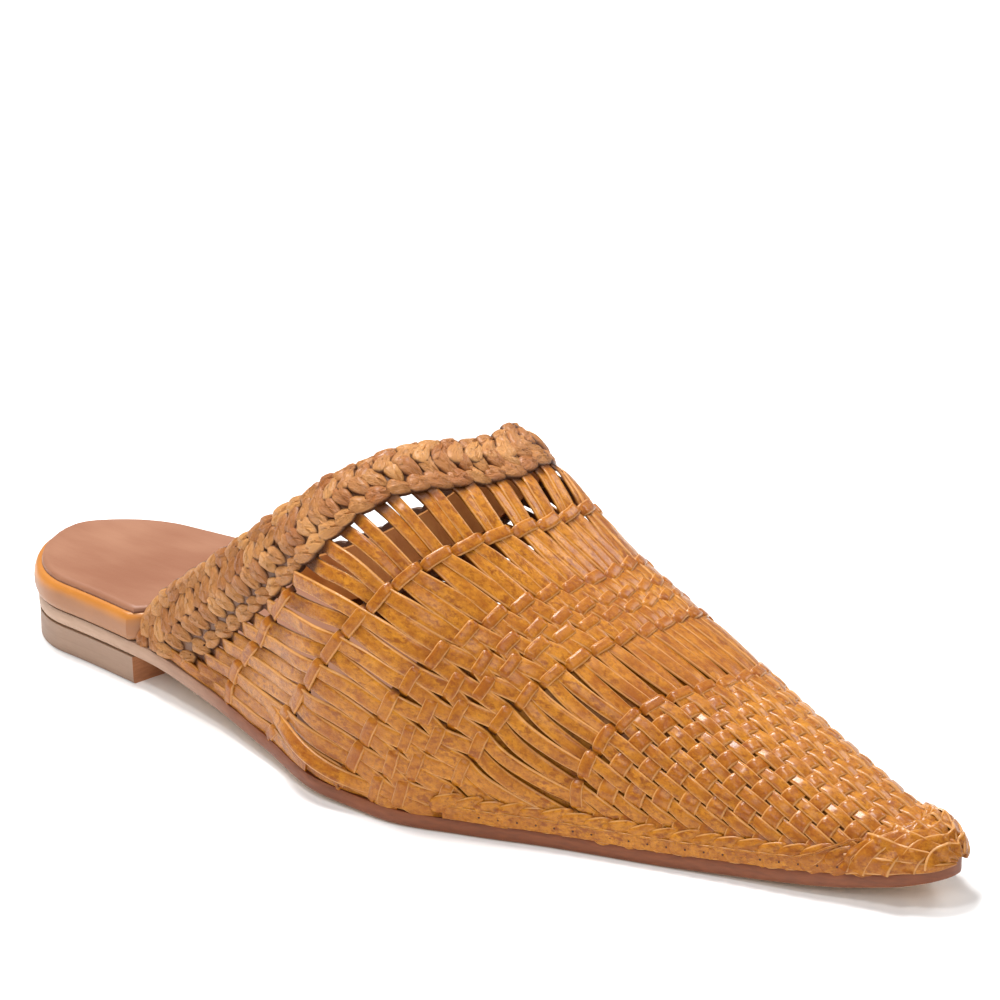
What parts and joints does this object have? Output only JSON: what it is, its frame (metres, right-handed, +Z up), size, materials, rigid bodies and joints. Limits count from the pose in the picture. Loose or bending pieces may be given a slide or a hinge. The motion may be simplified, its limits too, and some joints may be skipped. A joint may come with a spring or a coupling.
{
  "type": "mule shoe",
  "caption": "Flat backless mule with a pointed toe: hollow woven leather vamp with open slits, plaited topline, wrapped footbed, thin leather sole and low heel.",
  "frame": {"origin": "on the floor, under the middle of the shoe's bounding box", "axes": "+X from heel to toe, -Y the outer side of the foot, +Z up"},
  "size_m": [0.271, 0.081, 0.0819],
  "materials": {
    "heel_stack": "stacked, matt",
    "sole_leather": "smooth, edge stained",
    "rim_leather": "smooth, satin",
    "sock_leather": "soft, matt",
    "woven_strips": "burnished, semi-gloss",
    "braided_strips": "matt"
  },
  "bodies": {
    "root": {"heel_block": "heel_stack", "outsole": "sole_leather", "footbed": "rim_leather", "sock_lining": "sock_leather", "upper": "woven_strips", "topline_braid": "braided_strips", "toe_rand": "woven_strips"}
  },
  "joints": []
}
